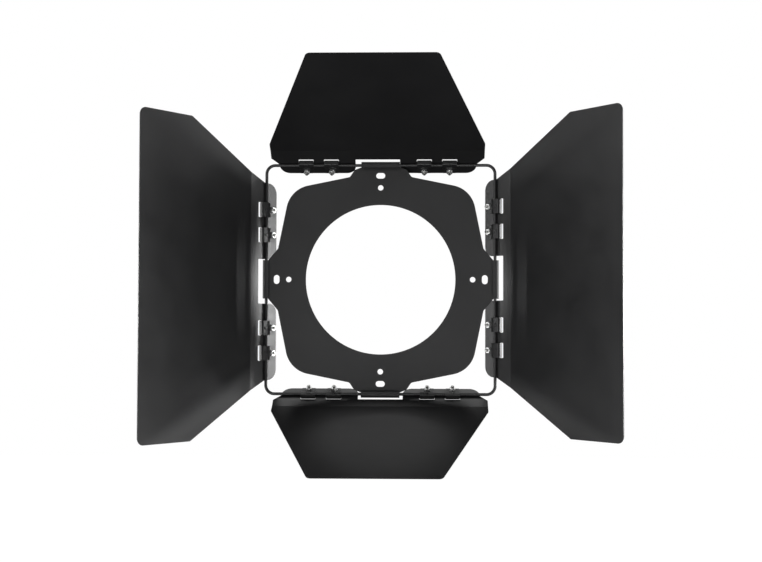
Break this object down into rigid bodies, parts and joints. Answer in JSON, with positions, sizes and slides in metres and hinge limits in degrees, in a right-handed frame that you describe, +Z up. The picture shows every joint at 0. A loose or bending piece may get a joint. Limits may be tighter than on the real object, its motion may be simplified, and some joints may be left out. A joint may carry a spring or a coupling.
{
  "type": "studio lamp barn door",
  "caption": "Four-leaf barn door: a round-apertured mounting plate, a square wire hinge frame, and folding sheet-metal leaves held by friction clips.",
  "frame": {"origin": "centre of the mounting plate's back face, on the aperture's axis", "axes": "+Z up, +X to the right seen from in front of the lamp, +Y back into the lamp, so light leaves towards -Y"},
  "size_m": [0.4317, 0.1591, 0.3799],
  "materials": {
    "plate_paint": "satin",
    "rod_paint": "semi-gloss",
    "leaf_paint": "satin",
    "clip_paint": "semi-gloss",
    "screw_zinc": "bright zinc",
    "nut_zinc": "bright zinc"
  },
  "bodies": {
    "frame": {"mounting_plate": "plate_paint", "rod_frame": "rod_paint"},
    "right_leaf": {"leaf_right": "leaf_paint", "clip_right_1": "clip_paint", "clip_right_2": "clip_paint", "clip_right_3": "clip_paint", "clip_right_4": "clip_paint", "screws_right": "screw_zinc", "nuts_right": "nut_zinc"},
    "top_leaf": {"leaf_top": "leaf_paint", "clip_top_1": "clip_paint", "clip_top_2": "clip_paint", "clip_top_3": "clip_paint", "clip_top_4": "clip_paint", "screws_top": "screw_zinc", "nuts_top": "nut_zinc"},
    "left_leaf": {"leaf_left": "leaf_paint", "clip_left_1": "clip_paint", "clip_left_2": "clip_paint", "clip_left_3": "clip_paint", "clip_left_4": "clip_paint", "screws_left": "screw_zinc", "nuts_left": "nut_zinc"},
    "bottom_leaf": {"leaf_bottom": "leaf_paint", "clip_bottom_1": "clip_paint", "clip_bottom_2": "clip_paint", "clip_bottom_3": "clip_paint", "clip_bottom_4": "clip_paint", "screws_bottom": "screw_zinc", "nuts_bottom": "nut_zinc"}
  },
  "joints": [
    {"name": "right_leaf_hinge", "type": "hinge", "parent": "frame", "child": "right_leaf", "pos_m": [0.113, -0.00355, 0], "axis": [0, 0, -1], "range_deg": [-12, 68]},
    {"name": "top_leaf_hinge", "type": "hinge", "parent": "frame", "child": "top_leaf", "pos_m": [0, -0.00355, 0.113], "axis": [1, 0, 0], "range_deg": [-8, 110]},
    {"name": "left_leaf_hinge", "type": "hinge", "parent": "frame", "child": "left_leaf", "pos_m": [-0.113, -0.00355, 0], "axis": [0, 0, 1], "range_deg": [-12, 64]},
    {"name": "bottom_leaf_hinge", "type": "hinge", "parent": "frame", "child": "bottom_leaf", "pos_m": [0, -0.00355, -0.113], "axis": [-1, 0, 0], "range_deg": [-25, 83]}
  ]
}
